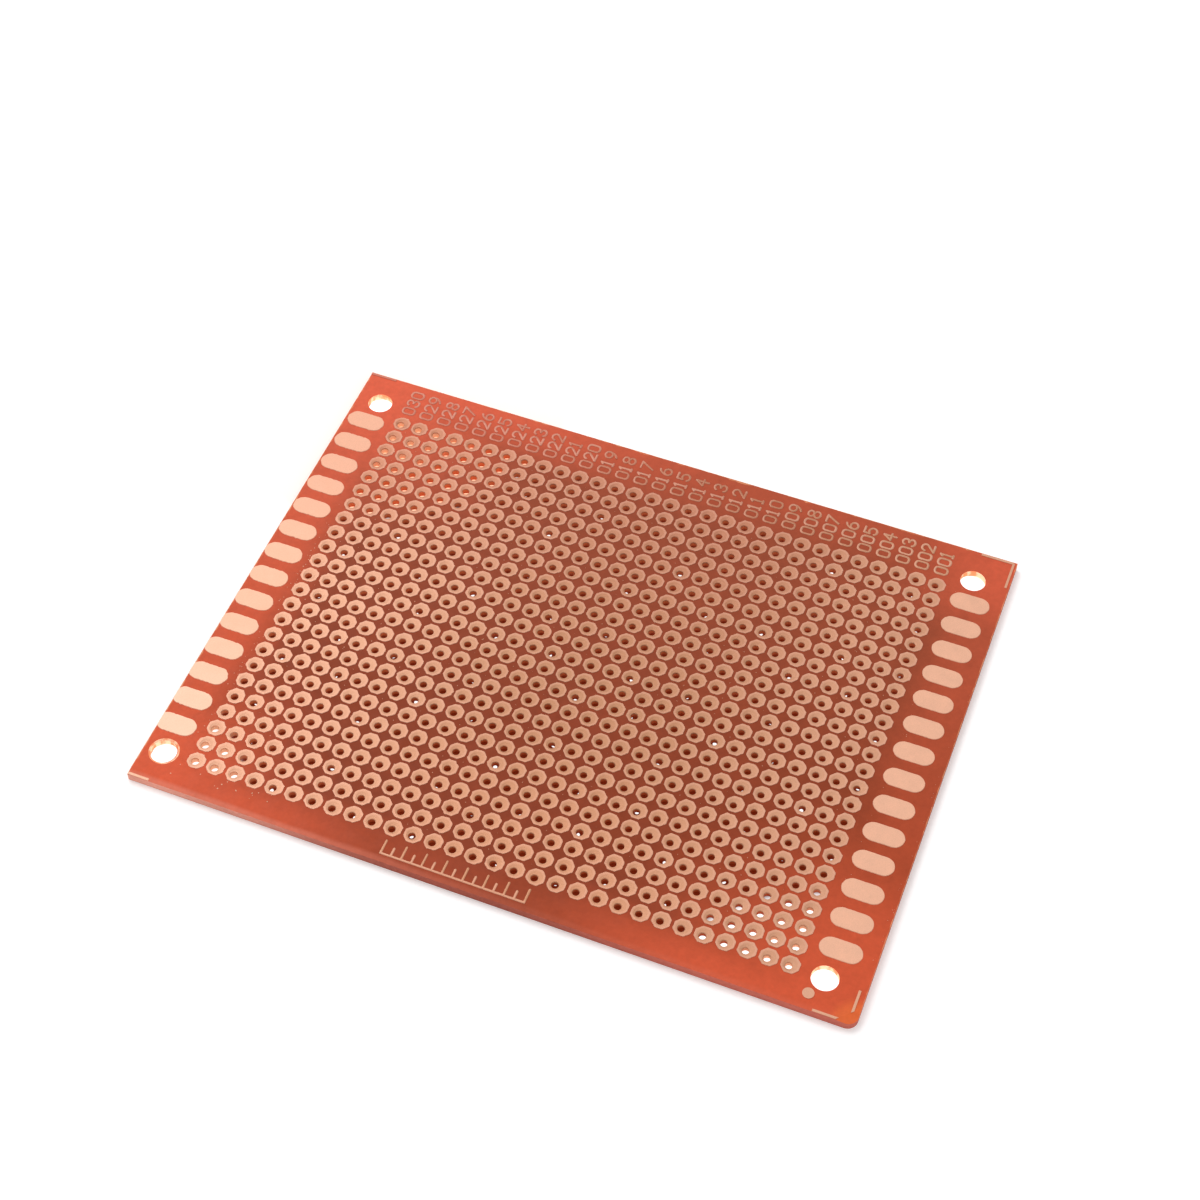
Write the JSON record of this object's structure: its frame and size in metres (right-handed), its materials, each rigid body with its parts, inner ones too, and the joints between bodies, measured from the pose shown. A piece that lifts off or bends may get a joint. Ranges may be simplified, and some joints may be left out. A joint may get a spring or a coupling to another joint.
{
  "type": "prototype board",
  "caption": "Single-sided perforated prototype board: reddish paper laminate with octagonal copper pads round punched lead holes, edge contact pads and corner screw holes.",
  "frame": {"origin": "middle of the board's outline, on its plain underside", "axes": "+X along the long edge, from column 030 to column 001; +Y along the short edge, towards the edge that carries the column numbers; +Z out of the copper side"},
  "size_m": [0.0903, 0.0702, 0.0013],
  "materials": {
    "laminate": "satin, slightly glossy resin face over brown paper laminate",
    "copper": "bare copper, matte with fine scratches",
    "legend_ink": "thin white screen ink on the plain side"
  },
  "bodies": {
    "root": {"laminate": "laminate", "pads_column_001": "copper", "pads_column_002": "copper", "pads_column_003": "copper", "pads_column_004": "copper", "pads_column_005": "copper", "pads_column_006": "copper", "pads_column_007": "copper", "pads_column_008": "copper", "pads_column_009": "copper", "pads_column_010": "copper", "pads_column_011": "copper", "pads_column_012": "copper", "pads_column_013": "copper", "pads_column_014": "copper", "pads_column_015": "copper", "pads_column_016": "copper", "pads_column_017": "copper", "pads_column_018": "copper", "pads_column_019": "copper", "pads_column_020": "copper", "pads_column_021": "copper", "pads_column_022": "copper", "pads_column_023": "copper", "pads_column_024": "copper", "pads_column_025": "copper", "pads_column_026": "copper", "pads_column_027": "copper", "pads_column_028": "copper", "pads_column_029": "copper", "pads_column_030": "copper", "edge_pads_left": "copper", "edge_pads_right": "copper", "corner_marks": "copper", "index_dot": "copper"}
  },
  "joints": []
}
